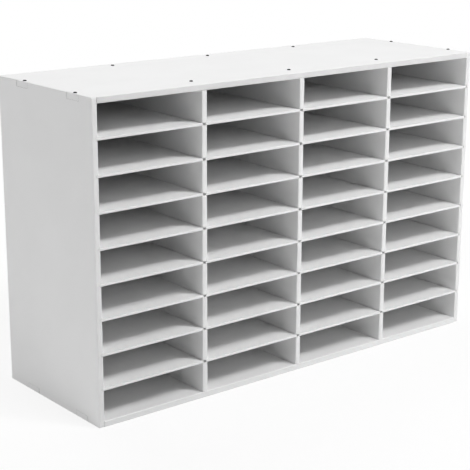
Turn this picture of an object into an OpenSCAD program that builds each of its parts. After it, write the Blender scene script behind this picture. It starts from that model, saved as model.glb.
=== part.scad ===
// Pigeonhole mail sorter: a free-standing white case of open compartments for letters and forms.
// X runs across the front, the open front faces -Y, Z is up, and the case stands on Z = 0.
// Uprights are grooved on their inner faces, and thin shelves slide into the grooves from the front.

/* [Compartments] */
// Compartments across the front
columns = 4; // [2:1:5]
// Compartments from top to bottom
rows = 9; // [4:1:9]
// Clear width of a compartment
cell_w = 234.5; // [180:0.5:260]
// Clear height of a compartment
cell_h = 63.4; // [50:0.1:90]
// Clear height of the compartments in the top and bottom rows
end_cell_h = 61.8; // [50:0.1:90]
// Depth of the whole case
depth = 330; // [300:1:380]

/* [Boards] */
// Thickness of the top, bottom, sides and dividers
board_t = 12; // [12:0.5:18]
// Thickness of a shelf
shelf_t = 5; // [3:0.5:6]
// Thickness of the back sheet
back_t = 3; // [2:0.5:4]
// Rounding of the boards' front edges and of the case's long outer edges
edge_r = 2; // [0.5:0.5:3]
// Rounding of the front corners in the outline of a side
corner_r = 4; // [3:0.5:8]
// Rounding of the shelves' front edges
shelf_r = 1; // [0.4:0.2:1.2]

/* [Grooves] */
// Depth of a shelf groove into the face of an upright
groove_d = 4.4; // [4:0.1:4.6]
// Room above a shelf in its groove
groove_play = 0.5; // [0.3:0.1:1]
// How far a shelf reaches into each groove when it lies in the middle
shelf_seat = 2.5; // [2:0.1:2.8]
// How far the shelves lie to the left of the middle
shelf_shift = 0.9; // [0:0.1:1]
// Depth of the saw cut that opens both grooves of a divider at the front edge
kerf_d = 9; // [4:1:20]

/* [Corner joints] */
// Width of a tab on the end of the top or bottom board
tab_w = 40; // [30:1:60]
// Middle of the front tab, from the front edge
tab_front = 62; // [50:1:90]
// Middle of the rear tab, from the front edge
tab_rear = 241; // [180:1:250]
// Gap on the tight edge of a tab in its notch, and under it
tab_gap = 0.3; // [0.1:0.1:0.6]
// Gap on the loose edge of a tab: the rear one at the top, the front one at the bottom
tab_slack = 1; // [0.3:0.1:1.5]
// Width of the rebate that takes the edge of the back sheet
rebate_w = 6; // [4:0.5:7]
// Depth of that rebate
rebate_d = 4; // [4:0.5:6]

/* [Fasteners] */
// Diameter of a wood screw
screw_d = 3.5; // [3:0.5:4]
// Length of a wood screw
screw_l = 35; // [30:1:45]
// Diameter of a screw head
screw_head_d = 7; // [6:0.5:8]
// Height of the domed heads on the top board
dome_h = 1.8; // [1.4:0.1:2.4]
// Front screw of a divider, from the front edge
screw_front = 42; // [30:1:80]
// Rear screw of a divider, from the rear edge
screw_rear = 20; // [15:1:60]
// Diameter of a back nail
nail_d = 1.4; // [1.2:0.1:1.8]
// Length of a back nail under its head
nail_l = 18; // [14:1:22]
// Diameter of a nail head
nail_head_d = 4; // [3:0.5:5]
// Thickness of a nail head
nail_head_t = 0.7; // [0.5:0.1:0.9]
// Nails up each upright
nails_up = 5; // [3:1:7]

/* [Hidden] */
$fn = 48;
eps = 0.5;
fastener_room = 0.05;

pitch_x = cell_w + board_t;
pitch_z = cell_h + shelf_t;
width = columns * pitch_x + board_t;
inner_w = width - 2 * board_t;
inner_h = 2 * end_cell_h + (rows - 2) * cell_h + (rows - 1) * shelf_t;
height = inner_h + 2 * board_t;
front_y = -depth / 2;
back_y = depth / 2;
back_face_y = back_y - rebate_d;
upright_depth = depth - rebate_d;

shelf_w = cell_w + 2 * shelf_seat;
shelf_depth = upright_depth;
groove_h = shelf_t + groove_play;

tab_places = [tab_front, tab_rear];
notch_w = tab_w + tab_gap + tab_slack;
notch_h = board_t + tab_gap;

divider_screws = [screw_front, depth - screw_rear];
screw_sink = 0.2;
screw_cone = (screw_head_d - screw_d) / 2;
screw_tip = 6;
cross_w = 1;
cross_l = 4;
cross_d = 1.8;
// Domed head: an upright rim, then a cone to a narrower flat
dome_rim = dome_h / 2;
dome_flat_d = screw_head_d * 0.6;
dome_cross_d = dome_h - 0.5;
nail_tip = 2;
nail_fn = 24;
// Nails along the edge of the sheet stand in the middle of the rebate
edge_nail = board_t - rebate_w / 2;

board_color = [0.94, 0.94, 0.93];
shelf_color = [0.91, 0.91, 0.90];
back_color = [0.86, 0.86, 0.85];
screw_color = [0.08, 0.08, 0.08];
nail_color = [0.62, 0.62, 0.63];

column_letters = "abcde";
divider_names = [for (i = [1 : columns - 1]) str("divider_", i)];
shelf_names = [for (c = [0 : columns - 1], r = [1 : rows - 1]) shelf_name(c, r)];

// Name of a shelf: its column's letter from the left, then its place from the top
function shelf_name(c, r) = str("shelf_", column_letters[c], r);

// Middle of an upright, counted from the left side
function upright_x(i) = -width / 2 + board_t / 2 + i * pitch_x;

// Middle of a column of compartments
function column_x(c) = upright_x(c) + pitch_x / 2;

// Underside of a shelf, counted from the top
function shelf_z(r) = height - board_t - end_cell_h - shelf_t - (r - 1) * pitch_z;

// Middle of a row of compartments, counted from the top
function row_z(r) =
    r == 0 ? height - board_t - end_cell_h / 2 :
    r == rows - 1 ? board_t + end_cell_h / 2 :
    shelf_z(r) - cell_h / 2;

// Rows of compartments that have a nail behind each upright
function nail_rows() = [for (k = [0 : nails_up - 1]) round(k * (rows - 1) / (nails_up - 1))];

// Nails behind the sides stand in the rebate, those behind the dividers in the middle of the board
function nail_x(i) =
    i == 0 ? -width / 2 + edge_nail :
    i == columns ? width / 2 - edge_nail :
    upright_x(i);

// Nails through the back sheet: up each upright, and into the top and bottom between them
function nail_points() = concat(
    [for (i = [0 : columns], r = nail_rows()) [nail_x(i), row_z(r)]],
    [for (c = [0 : columns - 1], z = [edge_nail, height - edge_nail]) [column_x(c), z]]
);

// Screws through the top or bottom board: one in each tab, two over each divider
function screw_points() = [
    for (i = [0 : columns])
        for (y = (i == 0 || i == columns) ? tab_places : divider_screws)
            [upright_x(i), front_y + y]
];

// Section of a board: thickness along X, depth along Y, with both front corners rounded
module board_section(thick, length, radius) {
    translate([0, radius])
        square([thick, length - radius]);
    translate([radius, 0])
        square([thick - 2 * radius, 2 * radius]);
    for (x = [radius, thick - radius])
        translate([x, radius])
            circle(radius);
}

// Board standing on edge, its thickness centred on X = 0 and its front edge at the case's front
module upright_board(length, z, high) {
    translate([-board_t / 2, front_y, z])
        linear_extrude(high)
            board_section(board_t, length, edge_r);
}

// Board lying flat, centred across the case, its underside at Z = 0
module flat_board(wide, thick, length, radius) {
    translate([0, front_y, 0])
        rotate([0, -90, 0])
            linear_extrude(wide, center = true)
                board_section(thick, length, radius);
}

// Side before it is cut: rounded at its front edges, its front corners and its long outer edges
module side_blank() {
    intersection() {
        upright_board(depth, 0, height);
        flat_board(board_t + 2 * eps, height, depth, corner_r);
        translate([-board_t / 2, front_y - eps, 0])
            rotate([0, -90, -90])
                linear_extrude(depth + 2 * eps)
                    board_section(height, board_t + eps, edge_r);
    }
}

// Bar across the whole case whose two ends are the tabs, rounded like the outer edges of the sides
module tab_bar() {
    translate([-width / 2, 0, 0])
        rotate([90, 0, 0])
            linear_extrude(tab_w, center = true)
                board_section(width, board_t, edge_r);
}

// Grooves for one column of shelves, cut into the face on the +X side of an upright
module shelf_grooves() {
    for (r = [1 : rows - 1])
        translate([board_t / 2 - groove_d, front_y - eps, shelf_z(r)])
            cube([groove_d + eps, depth + 2 * eps, groove_h]);
}

// Notches through a side for the tabs of the top and bottom boards
module tab_notches() {
    notch = [board_t + 2 * eps, notch_w, notch_h + eps];
    for (y = tab_places)
        translate([-board_t / 2 - eps, front_y + y - tab_w / 2, 0]) {
            translate([0, -tab_gap, height - notch_h])
                cube(notch);
            translate([0, -tab_slack, -eps])
                cube(notch);
        }
}

// Pilot holes for the screws that come down and up into an upright
module pilot_holes(places) {
    pilot_d = screw_d + 2 * fastener_room;
    for (y = places, z = [eps, height - screw_l - eps])
        translate([0, front_y + y, z])
            cylinder(h = screw_l, d = pilot_d);
}

// Pilot holes for the nails, along +Y into the rear of the case
module nail_holes(points) {
    for (p = points)
        translate([p[0], back_face_y - nail_l, p[1]])
            rotate([-90, 0, 0])
                cylinder(h = nail_l + rebate_d, d = nail_d + 2 * fastener_room, $fn = nail_fn);
}

// Hole for a screw driven up from Z = 0, with a countersink where the head lies flush
module screw_clearance(flush) {
    hole_d = screw_d + 2 * fastener_room;
    head_d = screw_head_d + 2 * fastener_room;
    translate([0, 0, -eps])
        cylinder(h = board_t + 2 * eps, d = hole_d);
    if (flush) {
        translate([0, 0, screw_sink])
            cylinder(h = screw_cone, d1 = head_d, d2 = hole_d);
        translate([0, 0, -eps])
            cylinder(h = screw_sink + eps, d = head_d);
    }
}

// Side of the case, built as the left one with its middle on X = 0
module side_board() {
    difference() {
        side_blank();
        shelf_grooves();
        tab_notches();
        translate([board_t / 2 - rebate_w, back_face_y, board_t - rebate_w])
            cube([rebate_w + eps, rebate_d + eps, inner_h + 2 * rebate_w]);
        pilot_holes(tab_places);
        nail_holes([for (r = nail_rows()) [board_t / 2 - rebate_w / 2, row_z(r)]]);
    }
}

// Top or bottom of the case, built as the bottom one with its underside at Z = 0
module end_board(flush_screws) {
    difference() {
        union() {
            flat_board(inner_w, board_t, depth, edge_r);
            for (y = tab_places)
                translate([0, front_y + y, 0])
                    tab_bar();
        }
        translate([-width / 2, back_face_y, board_t - rebate_w])
            cube([width, rebate_d + eps, rebate_w + eps]);
        for (p = screw_points())
            translate([p[0], p[1], 0])
                screw_clearance(flush_screws);
        nail_holes([for (c = [0 : columns - 1]) [column_x(c), edge_nail]]);
    }
}

// Cross recess of a screw head, cut up from Z = 0
module cross_recess(deep) {
    for (turn = [0, 90])
        rotate([0, 0, turn])
            translate([-cross_l / 2, -cross_w / 2, -eps])
                cube([cross_l, cross_w, deep + eps]);
}

// Wood screw driven up from Z = 0, its domed head below that plane
module domed_screw() {
    difference() {
        union() {
            translate([0, 0, -dome_rim])
                cylinder(h = dome_rim, d = screw_head_d);
            translate([0, 0, -dome_h])
                cylinder(h = dome_h - dome_rim, d1 = dome_flat_d, d2 = screw_head_d);
            cylinder(h = screw_l - screw_tip, d = screw_d);
            translate([0, 0, screw_l - screw_tip])
                cylinder(h = screw_tip - eps, d1 = screw_d, d2 = screw_d / 4);
        }
        translate([0, 0, -dome_h])
            cross_recess(dome_cross_d);
    }
}

// Countersunk wood screw driven up from Z = 0
module flush_screw() {
    shank_l = screw_l - screw_cone - screw_tip - 2 * screw_sink;
    difference() {
        translate([0, 0, screw_sink]) {
            cylinder(h = screw_cone, d1 = screw_head_d, d2 = screw_d);
            translate([0, 0, screw_cone])
                cylinder(h = shank_l, d = screw_d);
            translate([0, 0, screw_cone + shank_l])
                cylinder(h = screw_tip - eps, d1 = screw_d, d2 = screw_d / 4);
        }
        cross_recess(cross_d);
    }
}

// Flat-headed nail along -Y, its head lying on the back sheet
module back_nail() {
    rotate([90, 0, 0]) {
        translate([0, 0, -nail_head_t])
            cylinder(h = nail_head_t, d = nail_head_d, $fn = nail_fn);
        cylinder(h = nail_l - nail_tip, d = nail_d, $fn = nail_fn);
        translate([0, 0, nail_l - nail_tip])
            cylinder(h = nail_tip - eps, d1 = nail_d, d2 = nail_d / 4, $fn = nail_fn);
    }
}

module bottom_panel() {
    color(board_color)
        end_board(flush_screws = true);
}

module top_panel() {
    color(board_color)
        translate([0, 0, height])
            mirror([0, 0, 1])
                end_board(flush_screws = false);
}

module left_side() {
    color(board_color)
        translate([upright_x(0), 0, 0])
            side_board();
}

module right_side() {
    color(board_color)
        translate([upright_x(columns), 0, 0])
            mirror([1, 0, 0])
                side_board();
}

// Inner upright: grooved on both faces, and sawn through at the front where the grooves meet the edge
module divider(i) {
    color(board_color)
        translate([upright_x(i), 0, 0])
            difference() {
                upright_board(upright_depth, board_t, inner_h);
                shelf_grooves();
                mirror([1, 0, 0])
                    shelf_grooves();
                for (r = [1 : rows - 1])
                    translate([-board_t / 2, front_y - eps, shelf_z(r)])
                        cube([board_t, kerf_d + eps, groove_h]);
                pilot_holes(divider_screws);
                nail_holes([for (r = nail_rows()) [0, row_z(r)]]);
            }
}

module back_panel() {
    sheet_w = inner_w + 2 * rebate_w - 2 * tab_gap;
    sheet_h = inner_h + 2 * rebate_w - 2 * tab_gap;
    color(back_color)
        difference() {
            translate([-sheet_w / 2, back_face_y, height / 2 - sheet_h / 2])
                cube([sheet_w, back_t, sheet_h]);
            nail_holes(nail_points());
        }
}

// Thin shelf, its ends in the grooves and its rear edge against the back sheet
module shelf(c, r) {
    color(shelf_color)
        translate([column_x(c) - shelf_shift, 0, shelf_z(r)])
            flat_board(shelf_w, shelf_t, shelf_depth, shelf_r);
}

// Flush heads under the bottom board, so that the case stands flat
module bottom_screws() {
    color(screw_color)
        for (p = screw_points())
            translate([p[0], p[1], 0])
                flush_screw();
}

// Domed heads on the top board
module top_screws() {
    color(screw_color)
        translate([0, 0, height])
            mirror([0, 0, 1])
                for (p = screw_points())
                    translate([p[0], p[1], 0])
                        domed_screw();
}

module back_nails() {
    color(nail_color)
        for (p = nail_points())
            translate([p[0], back_face_y + back_t, p[1]])
                back_nail();
}

top_panel();
bottom_panel();
left_side();
right_side();
for (i = [1 : columns - 1])
    divider(i);
back_panel();
for (c = [0 : columns - 1], r = [1 : rows - 1])
    shelf(c, r);
top_screws();
bottom_screws();
back_nails();
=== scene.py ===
import math

import bpy
from mathutils import Matrix, Vector


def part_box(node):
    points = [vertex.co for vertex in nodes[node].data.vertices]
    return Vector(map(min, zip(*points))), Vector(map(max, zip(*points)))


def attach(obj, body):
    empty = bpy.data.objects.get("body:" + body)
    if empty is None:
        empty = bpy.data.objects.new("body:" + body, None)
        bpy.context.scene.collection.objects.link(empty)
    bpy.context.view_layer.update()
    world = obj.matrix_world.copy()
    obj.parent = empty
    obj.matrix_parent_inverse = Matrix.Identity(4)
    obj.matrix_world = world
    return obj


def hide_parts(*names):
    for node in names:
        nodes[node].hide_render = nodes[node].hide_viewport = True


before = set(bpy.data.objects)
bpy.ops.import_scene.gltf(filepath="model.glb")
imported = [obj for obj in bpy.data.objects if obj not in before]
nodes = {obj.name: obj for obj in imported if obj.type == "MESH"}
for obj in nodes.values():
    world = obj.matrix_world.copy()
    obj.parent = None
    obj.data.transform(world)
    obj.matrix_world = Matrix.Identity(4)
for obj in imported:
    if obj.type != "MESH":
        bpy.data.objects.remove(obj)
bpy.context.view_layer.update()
scene = bpy.context.scene
scene.view_settings.view_transform = "Standard"


# shader helpers

mixSockets = {"under": 6, "over": 7, "result": 2}  # the Mix node's colour sockets


def addNode(tree, kind, **values):
    # a value goes on the node's own setting of that name, or else on its input socket
    node = tree.nodes.new(kind)
    for name, value in values.items():
        if hasattr(node, name):
            setattr(node, name, value)
        else:
            node.inputs[name.replace("_", " ")].default_value = value
    return node


def addMath(tree, operation, first, second):
    # either side is a socket or a number
    node = addNode(tree, "ShaderNodeMath", operation=operation)
    for socket, value in zip(node.inputs, (first, second)):
        if isinstance(value, (int, float)):
            socket.default_value = value
        else:
            tree.links.new(value, socket)
    return node.outputs[0]


def spread(tree, value, low, high, toLow=0.0, toHigh=1.0):
    # a smooth step from one range to another
    node = addNode(tree, "ShaderNodeMapRange", interpolation_type="SMOOTHSTEP",
                   From_Min=low, From_Max=high, To_Min=toLow, To_Max=toHigh)
    tree.links.new(value, node.inputs["Value"])
    return node.outputs["Result"]


def blendGrey(tree, mask, under, overGrey):
    # under is a grey or a colour socket, and the mask lays the second grey over it
    node = addNode(tree, "ShaderNodeMix", data_type="RGBA")
    tree.links.new(mask, node.inputs["Factor"])
    below, above = node.inputs[mixSockets["under"]], node.inputs[mixSockets["over"]]
    if isinstance(under, float):
        below.default_value = (under, under, under, 1)
    else:
        tree.links.new(under, below)
    above.default_value = (overGrey, overGrey, overGrey, 1)
    return node.outputs[mixSockets["result"]]


def newGroup(name, inputs, outputs):
    tree = bpy.data.node_groups.new(name, "ShaderNodeTree")
    for label, value in inputs.items():
        socket = tree.interface.new_socket(label, in_out="INPUT", socket_type="NodeSocketFloat")
        socket.default_value = value
    for label in outputs:
        tree.interface.new_socket(label, in_out="OUTPUT", socket_type="NodeSocketFloat")
    return tree, tree.nodes.new("NodeGroupInput"), tree.nodes.new("NodeGroupOutput")


def useGroup(tree, group, **values):
    node = addNode(tree, "ShaderNodeGroup", node_tree=group)
    for name, value in values.items():
        node.inputs[name.replace("_", " ")].default_value = value
    return node


def noiseAt(tree, size, detail, distortion=0.0):
    # noise on Object coordinates whose blotches are about size metres wide
    place = addNode(tree, "ShaderNodeTexCoord")
    noise = addNode(tree, "ShaderNodeTexNoise", Detail=detail, Distortion=distortion)
    tree.links.new(place.outputs["Object"], noise.inputs["Vector"])
    tree.links.new(addMath(tree, "DIVIDE", 1.0, size), noise.inputs["Scale"])
    return noise.outputs["Fac"]


# shared effects; a pair is the range of a value that is spread over the whole mask

filmNoise = {"peel": 0.002, "peelDetail": 2.0, "mottle": 0.08, "mottleDetail": 3.0,
             "tones": (0.3, 0.7)}


def makePaintFilm(look):
    # orange peel of a sprayed film, and the slow unevenness of its tone
    sizes = {"Peel Size": look["peel"], "Mottle Size": look["mottle"]}
    tree, given, made = newGroup("paintFilm", sizes, ("Height", "Mottle"))
    peel = noiseAt(tree, given.outputs["Peel Size"], look["peelDetail"])
    tree.links.new(peel, made.inputs["Height"])
    mottle = noiseAt(tree, given.outputs["Mottle Size"], look["mottleDetail"])
    tree.links.new(spread(tree, mottle, *look["tones"]), made.inputs["Mottle"])
    return tree


wearNoise = {"radius": 0.003, "patch": 0.02, "samples": 6, "bend": (0.01, 0.2), "detail": 4.0,
             "patches": (0.35, 0.65)}


def makeEdgeWear(look):
    # mask of the arrises, broken up as handling rubs them
    sizes = {"Radius": look["radius"], "Breakup Size": look["patch"]}
    tree, given, made = newGroup("edgeWear", sizes, ("Edge",))
    rounded = addNode(tree, "ShaderNodeBevel", samples=look["samples"])
    tree.links.new(given.outputs["Radius"], rounded.inputs["Radius"])
    flat = addNode(tree, "ShaderNodeNewGeometry")
    facing = addNode(tree, "ShaderNodeVectorMath", operation="DOT_PRODUCT")
    tree.links.new(rounded.outputs["Normal"], facing.inputs[0])
    tree.links.new(flat.outputs["Normal"], facing.inputs[1])
    bent = spread(tree, addMath(tree, "SUBTRACT", 1.0, facing.outputs["Value"]), *look["bend"])
    breakup = noiseAt(tree, given.outputs["Breakup Size"], look["detail"])
    breakup = spread(tree, breakup, *look["patches"])
    tree.links.new(addMath(tree, "MULTIPLY", bent, breakup), made.inputs["Edge"])
    return tree


cutNoise = {"patch": 0.02, "facing": (0.6, 0.95), "detail": 3.0, "patches": (0.3, 0.7),
            "least": 0.85}


def makeCutEdgeAndShade(look):
    # mask of the faces that point to the front, the sawn front edges: darker partly because the
    # sawn board drinks in more of the paint, and partly as painted shade on the front-facing side
    tree, given, made = newGroup("cutEdgeAndShade", {"Breakup Size": look["patch"]}, ("Edge",))
    surface = addNode(tree, "ShaderNodeNewGeometry")
    parts = addNode(tree, "ShaderNodeSeparateXYZ")
    tree.links.new(surface.outputs["Normal"], parts.inputs[0])
    forward = spread(tree, addMath(tree, "MULTIPLY", parts.outputs["Y"], -1.0), *look["facing"])
    uneven = noiseAt(tree, given.outputs["Breakup Size"], look["detail"])
    uneven = spread(tree, uneven, *look["patches"], look["least"], 1.0)
    tree.links.new(addMath(tree, "MULTIPLY", forward, uneven), made.inputs["Edge"])
    return tree


gapShape = {"reach": 0.004, "samples": 6, "opening": (0.12, 0.42)}


def makeGapDust(look):
    # painted shade: mask of the narrow gaps between boards, which open only to the width of a
    # slit, darkest where they are most closed in; it also stands for the raw board core in the
    # slits
    tree, given, made = newGroup("gapCoreAndShade", {"Reach": look["reach"]}, ("Gap",))
    slit = addNode(tree, "ShaderNodeAmbientOcclusion", samples=look["samples"])
    tree.links.new(given.outputs["Reach"], slit.inputs["Distance"])
    coreAndShade = spread(tree, slit.outputs["AO"], *look["opening"], 1.0, 0.0)
    tree.links.new(coreAndShade, made.inputs["Gap"])
    return tree


markNoise = {"length": 0.12, "width": 0.006, "amount": 0.3, "detail": 3.0, "streaks": (0.5, 0.75)}


def makeRubMarks(look):
    # long faint streaks along Y, as paper pushed in and out leaves them
    sizes = {"Length": look["length"], "Width": look["width"], "Amount": look["amount"]}
    tree, given, made = newGroup("rubMarks", sizes, ("Marks",))
    place = addNode(tree, "ShaderNodeTexCoord")
    stretch = addNode(tree, "ShaderNodeCombineXYZ")
    narrow = addMath(tree, "DIVIDE", 1.0, given.outputs["Width"])
    tree.links.new(narrow, stretch.inputs["X"])
    tree.links.new(narrow, stretch.inputs["Z"])
    tree.links.new(addMath(tree, "DIVIDE", 1.0, given.outputs["Length"]), stretch.inputs["Y"])
    along = addNode(tree, "ShaderNodeVectorMath", operation="MULTIPLY")
    tree.links.new(place.outputs["Object"], along.inputs[0])
    tree.links.new(stretch.outputs["Vector"], along.inputs[1])
    noise = addNode(tree, "ShaderNodeTexNoise", Scale=1.0, Detail=look["detail"])
    tree.links.new(along.outputs["Vector"], noise.inputs["Vector"])
    streaks = spread(tree, noise.outputs["Fac"], *look["streaks"])
    marks = addMath(tree, "MULTIPLY", streaks, given.outputs["Amount"])
    tree.links.new(marks, made.inputs["Marks"])
    return tree


fibreNoise = {"fibre": 0.0012, "detail": 4.0, "twist": 2.5, "flecks": (0.55, 0.75)}


def makePressedFibre(look):
    # matted fibres of hardboard under a thin coat
    sizes = {"Fibre Size": look["fibre"]}
    tree, given, made = newGroup("pressedFibre", sizes, ("Height", "Fleck"))
    fibre = noiseAt(tree, given.outputs["Fibre Size"], look["detail"], distortion=look["twist"])
    tree.links.new(fibre, made.inputs["Height"])
    tree.links.new(spread(tree, fibre, *look["flecks"]), made.inputs["Fleck"])
    return tree


paintFilm = makePaintFilm(filmNoise)
edgeWear = makeEdgeWear(wearNoise)
cutEdgeAndShade = makeCutEdgeAndShade(cutNoise)
gapCoreAndShade = makeGapDust(gapShape)
rubMarks = makeRubMarks(markNoise)
pressedFibre = makePressedFibre(fibreNoise)


# finishes of the boards, the shelves, the back sheet and the steel; sizes in metres

def newMaterial(name):
    material = bpy.data.materials.new(name)
    material.use_nodes = True
    tree = material.node_tree
    return material, tree, tree.nodes["Principled BSDF"]


def addFilm(tree, look):
    return useGroup(tree, paintFilm, Peel_Size=look["peel"], Mottle_Size=look["mottle"])


def roughen(tree, shader, mask, look):
    # a roughness that follows the mask
    rough = spread(tree, mask, 0.0, 1.0, look["smooth"], look["dull"])
    tree.links.new(rough, shader.inputs["Roughness"])


def finishPaint(tree, shader, colour, mask, height, look):
    tree.links.new(colour, shader.inputs["Base Color"])
    roughen(tree, shader, mask, look)
    bump = addNode(tree, "ShaderNodeBump", Strength=look["bump"], Distance=look["relief"])
    tree.links.new(height, bump.inputs["Height"])
    tree.links.new(bump.outputs["Normal"], shader.inputs["Normal"])


boardPaint = {"white": 0.86, "shade": 0.845, "wornEdge": 0.74, "cutEdgeAndShade": 0.73, "gapCoreShadeGrey": 0.22,
              "peel": 0.0018, "mottle": 0.11, "arris": 0.003, "patch": 0.03, "wear": 0.3,
              "gapReach": 0.004, "smooth": 0.40, "dull": 0.46, "bump": 0.10, "relief": 0.0002}
# the top board's front face is darker still: painted shade, partly its duller sawn edge
topPaint = {**boardPaint, "cutEdgeAndShade": 0.65}
dividerPaint = {**boardPaint, "cutEdgeAndShade": 0.745, "gapCoreShadeGrey": None}


def makeBoardWhite(name, look):
    material, tree, shader = newMaterial(name)
    film = addFilm(tree, look)
    edge = useGroup(tree, edgeWear, Radius=look["arris"], Breakup_Size=look["patch"])
    # painted shade, partly the duller sawn edge: the faces that point to the front get a darker
    # grey
    cutAndShade = useGroup(tree, cutEdgeAndShade, Breakup_Size=look["patch"])
    tone = blendGrey(tree, film.outputs["Mottle"], look["white"], look["shade"])
    tone = blendGrey(tree, cutAndShade.outputs["Edge"], tone, look["cutEdgeAndShade"])
    worn = addMath(tree, "MULTIPLY", edge.outputs["Edge"], look["wear"])
    tone = blendGrey(tree, worn, tone, look["wornEdge"])
    # painted shade: the closed-in gaps and slits get a dark grey, which also stands for the raw
    # board core there
    if look["gapCoreShadeGrey"] is not None:
        gapShading = useGroup(tree, gapCoreAndShade, Reach=look["gapReach"])
        tone = blendGrey(tree, gapShading.outputs["Gap"], tone, look["gapCoreShadeGrey"])
    finishPaint(tree, shader, tone, film.outputs["Mottle"], film.outputs["Height"], look)
    return material


shelfPaint = {"white": 0.87, "shade": 0.85, "rubbed": 0.77, "wornEdge": 0.77, "cutEdgeAndShade": 0.745,
              "peel": 0.0010, "mottle": 0.07, "arris": 0.0015, "patch": 0.015, "cutPatch": 0.02,
              "wear": 0.3, "markLength": 0.11, "markWidth": 0.005, "markAmount": 0.22,
              "smooth": 0.50, "dull": 0.62, "bump": 0.12, "relief": 0.0002}


def makeShelfWhite(look):
    material, tree, shader = newMaterial("shelfWhite")
    film = addFilm(tree, look)
    marks = useGroup(tree, rubMarks, Length=look["markLength"], Width=look["markWidth"],
                     Amount=look["markAmount"])
    edge = useGroup(tree, edgeWear, Radius=look["arris"], Breakup_Size=look["patch"])
    # painted shade, partly the duller sawn edge: the shelf's front face gets a darker grey
    cutAndShade = useGroup(tree, cutEdgeAndShade, Breakup_Size=look["cutPatch"])
    tone = blendGrey(tree, film.outputs["Mottle"], look["white"], look["shade"])
    tone = blendGrey(tree, marks.outputs["Marks"], tone, look["rubbed"])
    tone = blendGrey(tree, cutAndShade.outputs["Edge"], tone, look["cutEdgeAndShade"])
    worn = addMath(tree, "MULTIPLY", edge.outputs["Edge"], look["wear"])
    tone = blendGrey(tree, worn, tone, look["wornEdge"])
    finishPaint(tree, shader, tone, film.outputs["Mottle"], film.outputs["Height"], look)
    return material


sheetPaint = {"white": 0.84, "shade": 0.80, "fleck": 0.72, "fleckShare": 0.5, "fibre": 0.0014,
              "peel": 0.003, "mottle": 0.15, "smooth": 0.60, "dull": 0.72, "bump": 0.15,
              "relief": 0.0003}


def makeSheetWhite(look):
    material, tree, shader = newMaterial("sheetWhite")
    film = addFilm(tree, look)
    fibre = useGroup(tree, pressedFibre, Fibre_Size=look["fibre"])
    tone = blendGrey(tree, film.outputs["Mottle"], look["white"], look["shade"])
    flecks = addMath(tree, "MULTIPLY", fibre.outputs["Fleck"], look["fleckShare"])
    tone = blendGrey(tree, flecks, tone, look["fleck"])
    finishPaint(tree, shader, tone, film.outputs["Mottle"], fibre.outputs["Height"], look)
    return material


screwSteel = {"black": 0.016, "worn": 0.07, "peel": 0.0004, "mottle": 0.002, "arris": 0.0003,
              "patch": 0.001, "smooth": 0.65, "dull": 0.85, "gloss": 0.08}


def makeScrewBlack(look):
    material, tree, shader = newMaterial("screwBlack")
    film = addFilm(tree, look)
    edge = useGroup(tree, edgeWear, Radius=look["arris"], Breakup_Size=look["patch"])
    tone = blendGrey(tree, edge.outputs["Edge"], look["black"], look["worn"])
    tree.links.new(tone, shader.inputs["Base Color"])
    roughen(tree, shader, film.outputs["Mottle"], look)
    shader.inputs["Specular IOR Level"].default_value = look["gloss"]
    return material


nailSteel = {"grey": 0.46, "dark": 0.30, "peel": 0.0005, "mottle": 0.003, "smooth": 0.32,
             "dull": 0.5}


def makeNailZinc(look):
    material, tree, shader = newMaterial("nailZinc")
    film = addFilm(tree, look)
    tone = blendGrey(tree, film.outputs["Mottle"], look["grey"], look["dark"])
    tree.links.new(tone, shader.inputs["Base Color"])
    roughen(tree, shader, film.outputs["Mottle"], look)
    shader.inputs["Metallic"].default_value = 1.0
    return material


def dress(names, material):
    for name in names:
        slots = nodes[name].data.materials
        slots.clear()
        slots.append(material)


caseBoards = ["bottom_panel", "left_side", "right_side"]
topBoard = ["top_panel"]
dividers = sorted(n for n in nodes if n.startswith("divider_"))
shelves = sorted(n for n in nodes if n.startswith("shelf_"))
dress(caseBoards, makeBoardWhite("caseWhite", boardPaint))
dress(topBoard, makeBoardWhite("topWhite", topPaint))
dress(dividers, makeBoardWhite("dividerWhite", dividerPaint))
dress(shelves, makeShelfWhite(shelfPaint))
dress(["back_panel"], makeSheetWhite(sheetPaint))
boardCount = len(caseBoards + topBoard + dividers)
print("finishes:", boardCount, "boards,", len(shelves), "shelves and the back sheet")


# screws and nails, modelled once and copied to their places

sameLevel = 1e-6  # faces this close in height lie at one level
capFacing = 0.9  # a cap's normal is at least this much along Z
mergeReach = 2e-6
solidReach = 0.008  # wider than a screw head, far less than the space between two
smoothAngle = math.radians(35)


def startEditing():
    bpy.ops.object.mode_set(mode="EDIT")
    bpy.ops.mesh.select_mode(type="FACE")


def selectEnd(piece, top):
    # the cap at the highest or the lowest end
    bpy.ops.object.mode_set(mode="OBJECT")
    faces = piece.data.polygons
    level = (max if top else min)(f.center.z for f in faces)
    for part in (piece.data.vertices, piece.data.edges, faces):
        part.foreach_set("select", [False] * len(part))
    for face in faces:
        face.select = abs(face.center.z - level) < sameLevel and abs(face.normal.z) > capFacing
    bpy.ops.object.mode_set(mode="EDIT")


def drawOut(rise, ratio=1.0):
    # extrude the selected cap along Z and make it wider or narrower
    bpy.ops.mesh.extrude_region_move(TRANSFORM_OT_translate={"value": (0, 0, rise)})
    if ratio != 1.0:
        bpy.ops.transform.resize(value=(ratio, ratio, 1))


def applyBoolean(piece, tool, operation):
    modifier = piece.modifiers.new(operation.lower(), "BOOLEAN")
    modifier.operation = operation
    modifier.object = tool
    modifier.solver = "EXACT"
    bpy.context.view_layer.objects.active = piece
    bpy.ops.object.modifier_apply(modifier=modifier.name)
    bpy.data.objects.remove(tool)


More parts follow.
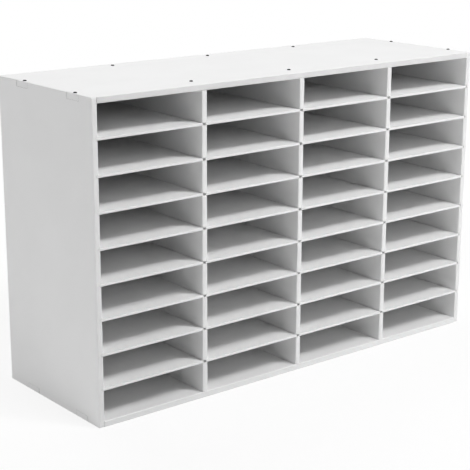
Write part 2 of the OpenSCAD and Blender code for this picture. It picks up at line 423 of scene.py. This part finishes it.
def mergeSlivers(piece):
    # a boolean leaves some points a hair apart
    bpy.ops.object.select_all(action="DESELECT")
    piece.select_set(True)
    bpy.context.view_layer.objects.active = piece
    startEditing()
    bpy.ops.mesh.select_all(action="SELECT")
    bpy.ops.mesh.remove_doubles(threshold=mergeReach)
    bpy.ops.mesh.dissolve_degenerate(threshold=mergeReach)
    bpy.ops.object.mode_set(mode="OBJECT")


def addShank(name, sides, radius, bottom, top):
    bpy.ops.object.select_all(action="DESELECT")
    bpy.ops.mesh.primitive_cylinder_add(vertices=sides, radius=radius, depth=top - bottom,
                                        location=(0, 0, (top + bottom) / 2))
    bpy.ops.object.transform_apply(location=True)
    piece = bpy.context.object
    piece.name = name
    startEditing()
    return piece


screwShank = {"sides": 24, "neckRadius": 0.0016, "neckLength": 0.010, "rootRadius": 0.0012,
              "threadRadius": 0.00172, "threadPitch": 0.0016, "threadSteps": 14, "ridgeSides": 3,
              "tipLength": 0.005, "tipRatio": 0.15, "length": 0.0342}
# a head is drawn out of the neck in steps of rise and new radius
flushHead = {"foot": -0.00195, "steps": ((0.00175, 0.0035), (0.0002, 0.0035)),
             "crossWide": 0.0010, "crossLong": 0.0044, "crossDeep": 0.0021, "crossTaper": 0.45}
domedHead = {"foot": 0.0,
             "steps": ((0.0, 0.0035), (0.0008, 0.0035), (0.0004, 0.00332), (0.0003, 0.0030),
                       (0.0002, 0.0025), (0.0001, 0.0018)),
             "crossWide": 0.0010, "crossLong": 0.0040, "crossDeep": 0.0013, "crossTaper": 0.6}


def addThread(look, bottom, top):
    # a sharp ridge carried up the shank by the Screw modifier
    bpy.ops.object.select_all(action="DESELECT")
    bpy.ops.mesh.primitive_circle_add(vertices=look["ridgeSides"],
                                      radius=look["threadRadius"] - look["rootRadius"],
                                      location=(look["rootRadius"], 0, bottom),
                                      rotation=(math.pi / 2, math.pi / 2, 0))
    bpy.ops.object.transform_apply(location=True, rotation=True)
    thread = bpy.context.object
    screw = thread.modifiers.new("turns", "SCREW")
    screw.axis = "Z"
    screw.screw_offset = look["threadPitch"]
    screw.iterations = int((top - bottom) / look["threadPitch"])
    screw.steps = screw.render_steps = look["threadSteps"]
    bpy.ops.object.modifier_apply(modifier=screw.name)
    startEditing()
    bpy.ops.mesh.select_all(action="SELECT")
    bpy.ops.mesh.fill_holes(sides=look["ridgeSides"])
    bpy.ops.mesh.select_all(action="SELECT")
    bpy.ops.mesh.normals_make_consistent(inside=False)
    bpy.ops.object.mode_set(mode="OBJECT")
    return thread


def addCrossWing(look, top, turned):
    # one wing of the driver's cross, narrower at its foot; its upper half stands clear of the head
    bpy.ops.object.select_all(action="DESELECT")
    bpy.ops.mesh.primitive_cube_add(size=1, location=(0, 0, top), rotation=(0, 0, turned))
    wing = bpy.context.object
    wing.scale = (look["crossLong"], look["crossWide"], 2 * look["crossDeep"])
    bpy.ops.object.transform_apply(location=True, rotation=True, scale=True)
    startEditing()
    selectEnd(wing, top=False)
    bpy.ops.transform.resize(value=(look["crossTaper"], look["crossTaper"], 1))
    bpy.ops.object.mode_set(mode="OBJECT")
    return wing


def makeScrew(name, shank, head):
    # head up, the board's face at Z = 0
    neckFoot = head["foot"] - shank["neckLength"]
    threadFoot = shank["tipLength"] - shank["length"]
    screw = addShank(name, shank["sides"], shank["rootRadius"], threadFoot, neckFoot)
    selectEnd(screw, top=False)
    drawOut(-shank["tipLength"], shank["tipRatio"])
    selectEnd(screw, top=True)
    drawOut(0.0, shank["neckRadius"] / shank["rootRadius"])
    drawOut(shank["neckLength"])
    radius = shank["neckRadius"]
    for rise, wider in head["steps"]:
        drawOut(rise, wider / radius)
        radius = wider
    bpy.ops.object.mode_set(mode="OBJECT")
    applyBoolean(screw, addThread(shank, threadFoot, neckFoot), "UNION")
    top = head["foot"] + sum(rise for rise, wider in head["steps"])
    for turned in (0, math.pi / 2):
        applyBoolean(screw, addCrossWing(head, top, turned), "DIFFERENCE")
    mergeSlivers(screw)
    return screw


nailShape = {"sides": 20, "headRadius": 0.002, "headHeight": 0.0007, "domeHeight": 0.0002,
             "domeRatio": 0.6, "shankRadius": 0.0007, "length": 0.0175, "tipLength": 0.0025,
             "tipRatio": 0.1}


def makeNail(look):
    # head up, the underside of its head at Z = 0
    shankFoot = look["tipLength"] - look["length"]
    nail = addShank("nail", look["sides"], look["shankRadius"], shankFoot, 0.0)
    selectEnd(nail, top=False)
    drawOut(-look["tipLength"], look["tipRatio"])
    selectEnd(nail, top=True)
    drawOut(0.0, look["headRadius"] / look["shankRadius"])
    drawOut(look["headHeight"] - look["domeHeight"])
    drawOut(look["domeHeight"], look["domeRatio"])
    bpy.ops.object.mode_set(mode="OBJECT")
    return nail


def solidCentres(nodeName, first, second):
    # middle of each separate solid of a node, on two axes
    groups = []
    for vertex in nodes[nodeName].data.vertices:
        spot = (vertex.co[first], vertex.co[second])
        for group in groups:
            start = group[0]
            if abs(spot[0] - start[0]) < solidReach and abs(spot[1] - start[1]) < solidReach:
                group.append(spot)
                break
        else:
            groups.append([spot])
    return [[(min(s[k] for s in g) + max(s[k] for s in g)) / 2 for k in (0, 1)] for g in groups]


def setFasteners(name, model, places, turn, nodeName, material):
    # one mesh of copies at their places, standing for the CAD group
    copies = []
    for place in places:
        copy = model.copy()
        copy.data = model.data.copy()
        copy.data.transform(Matrix.Translation(place) @ turn)
        scene.collection.objects.link(copy)
        copies.append(copy)
    bpy.ops.object.select_all(action="DESELECT")
    for copy in copies:
        copy.select_set(True)
    piece = copies[0]
    bpy.context.view_layer.objects.active = piece
    bpy.ops.object.join()
    bpy.ops.object.shade_smooth_by_angle(angle=smoothAngle)
    piece.name = name
    piece.data.materials.clear()
    piece.data.materials.append(material)
    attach(piece, "carcass")
    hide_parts(nodeName)


domedScrew = makeScrew("domedScrew", screwShank, domedHead)
flushScrew = makeScrew("flushScrew", screwShank, flushHead)
nail = makeNail(nailShape)
screwBlack = makeScrewBlack(screwSteel)
nailZinc = makeNailZinc(nailSteel)
upright = Matrix.Identity(4)
upsideDown = Matrix.Rotation(math.pi, 4, "X")
rearward = Matrix.Rotation(-math.pi / 2, 4, "X")  # heads towards +Y
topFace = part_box("top_panel")[1].z
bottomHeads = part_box("bottom_screws")[0].z
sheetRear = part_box("back_panel")[1].y
topPlaces = [(x, y, topFace) for x, y in solidCentres("top_screws", 0, 1)]
bottomPlaces = [(x, y, bottomHeads) for x, y in solidCentres("bottom_screws", 0, 1)]
nailPlaces = [(x, sheetRear, z) for x, z in solidCentres("back_nails", 0, 2)]
setFasteners("topScrews", domedScrew, topPlaces, upright, "top_screws", screwBlack)
setFasteners("bottomScrews", flushScrew, bottomPlaces, upsideDown, "bottom_screws", screwBlack)
setFasteners("backNails", nail, nailPlaces, rearward, "back_nails", nailZinc)
for model in (domedScrew, flushScrew, nail):
    bpy.data.objects.remove(model)
print("fasteners:", len(topPlaces) + len(bottomPlaces), "screws and", len(nailPlaces), "nails")


# camera, fitted to the photograph's straight edges

cameraSetup = {"place": (-1.75384, -2.12622, 1.01746), "yaw": 38.8903, "pitch": 15.3775,
               "roll": -0.1797, "focalPixels": 1323.1, "framePixels": 470, "sensor": 36}


def makeCamera(setup):
    yaw, pitch, roll = (math.radians(setup[k]) for k in ("yaw", "pitch", "roll"))
    ahead = Vector((math.sin(yaw) * math.cos(pitch), math.cos(yaw) * math.cos(pitch),
                    -math.sin(pitch)))
    level = Vector((math.cos(yaw), -math.sin(yaw), 0))
    down = ahead.cross(level)
    across = level * math.cos(roll) + down * math.sin(roll)
    below = down * math.cos(roll) - level * math.sin(roll)
    data = bpy.data.cameras.new("camera")
    data.sensor_width = setup["sensor"]
    data.lens = setup["focalPixels"] / setup["framePixels"] * setup["sensor"]
    camera = bpy.data.objects.new("camera", data)
    turn = Matrix((across, -below, -ahead)).transposed().to_4x4()
    camera.matrix_world = Matrix.Translation(setup["place"]) @ turn
    scene.collection.objects.link(camera)
    scene.camera = camera


makeCamera(cameraSetup)


# studio: a white floor that keeps a faint shadow, a dim white room and soft lamps

def seenDirectly(tree):
    # 1 for rays that show the plain white: from the camera, off gloss or through glass
    path = addNode(tree, "ShaderNodeLightPath")
    found = path.outputs["Is Camera Ray"]
    for kind in ("Is Glossy Ray", "Is Transmission Ray"):
        found = addMath(tree, "MAXIMUM", found, path.outputs[kind])
    return found


floorLook = {"size": 60, "white": 0.97, "roughness": 0.9, "shadowShare": 0.14,
             "shadowNear": 0.6, "shadowEnd": 1.5}


def makeFloor(look):
    bpy.ops.object.select_all(action="DESELECT")
    bpy.ops.mesh.primitive_plane_add(size=look["size"])
    floor = bpy.context.object
    floor.name = "studioFloor"
    material, tree, shader = newMaterial("studioWhite")
    shader.inputs["Base Color"].default_value = (look["white"],) * 3 + (1,)
    shader.inputs["Roughness"].default_value = look["roughness"]
    # the camera sees plain white, and near the object a share of the lit floor with its shadow
    place = addNode(tree, "ShaderNodeTexCoord")
    away = addNode(tree, "ShaderNodeVectorMath", operation="LENGTH")
    tree.links.new(place.outputs["Object"], away.inputs[0])
    share = spread(tree, away.outputs["Value"], look["shadowNear"], look["shadowEnd"],
                   look["shadowShare"], 0.0)
    glow = addNode(tree, "ShaderNodeEmission")
    shown = addNode(tree, "ShaderNodeMixShader")
    tree.links.new(share, shown.inputs[0])
    tree.links.new(glow.outputs[0], shown.inputs[1])
    tree.links.new(shader.outputs[0], shown.inputs[2])
    surface = addNode(tree, "ShaderNodeMixShader")
    tree.links.new(seenDirectly(tree), surface.inputs[0])
    tree.links.new(shader.outputs[0], surface.inputs[1])
    tree.links.new(shown.outputs[0], surface.inputs[2])
    tree.links.new(surface.outputs[0], tree.nodes["Material Output"].inputs["Surface"])
    floor.data.materials.append(material)


roomLight = {"strength": 0.03}


def makeRoom(look):
    world = bpy.data.worlds.new("room")
    scene.world = world
    world.use_nodes = True
    tree = world.node_tree
    light = tree.nodes["Background"]
    light.inputs["Color"].default_value = (1, 1, 1, 1)
    light.inputs["Strength"].default_value = look["strength"]
    white = addNode(tree, "ShaderNodeBackground", Color=(1, 1, 1, 1))
    sky = addNode(tree, "ShaderNodeMixShader")
    tree.links.new(seenDirectly(tree), sky.inputs[0])
    tree.links.new(light.outputs[0], sky.inputs[1])
    tree.links.new(white.outputs[0], sky.inputs[2])
    tree.links.new(sky.outputs[0], tree.nodes["World Output"].inputs["Surface"])


caseMiddle = (0, 0, 0.3)  # where a lamp with no aim of its own points
lamps = {
    "keySoftbox": {"place": (1.9, -3.50, 4.50), "size": (0.65, 0.65), "power": 100},
    "nearSoftbox": {"place": (0.75, -1.55, 2.35), "aim": (0.1, 0, 0.3), "size": (0.3, 0.3),
                    "power": 5.5},
    "upperSoftbox": {"place": (0.3, -2.04, 3.61), "size": (1.0, 1.0), "power": 48},
    "topSoftbox": {"place": (0.1, 1.4, 2.6), "aim": (0, 0, 0.5), "size": (1.7, 1.7),
                   "power": 24.5},
    "leftSoftbox": {"place": (-3.2, 0.2, 0.95), "size": (1.9, 1.9), "power": 16.5},
    "leftFloorFill": {"place": (-2.6, -0.1, 0.32), "size": (0.6, 0.6), "power": 5.1},
    "frontFloorFill": {"place": (0.45, -1.2, 0.12), "aim": (0.2, 0, 0.1), "size": (1.0, 0.2),
                       "power": 1.8},
    "lowFrontFill": {"place": (0.35, -1.4, 0.65), "aim": (0.35, 0, 0.15), "size": (0.5, 0.3),
                     "power": 1.6},
    "rightFill": {"place": (2.6, -0.2, 0.32), "size": (0.6, 0.6), "power": 14},
    "rearFill": {"place": (-0.3, 2.8, 0.45), "size": (0.9, 0.9), "power": 22},
}


def makeLamp(name, setup):
    data = bpy.data.lights.new(name, "AREA")
    data.shape = "RECTANGLE"
    data.size, data.size_y = setup["size"]
    data.energy = setup["power"]
    lamp = bpy.data.objects.new(name, data)
    lamp.location = setup["place"]
    aim = Vector(setup.get("aim", caseMiddle)) - Vector(setup["place"])
    lamp.rotation_euler = aim.to_track_quat("-Z", "Y").to_euler()
    scene.collection.objects.link(lamp)


makeFloor(floorLook)
makeRoom(roomLight)
for lampName, lampSetup in lamps.items():
    makeLamp(lampName, lampSetup)
print("studio: floor, room light and", len(lamps), "lamps")
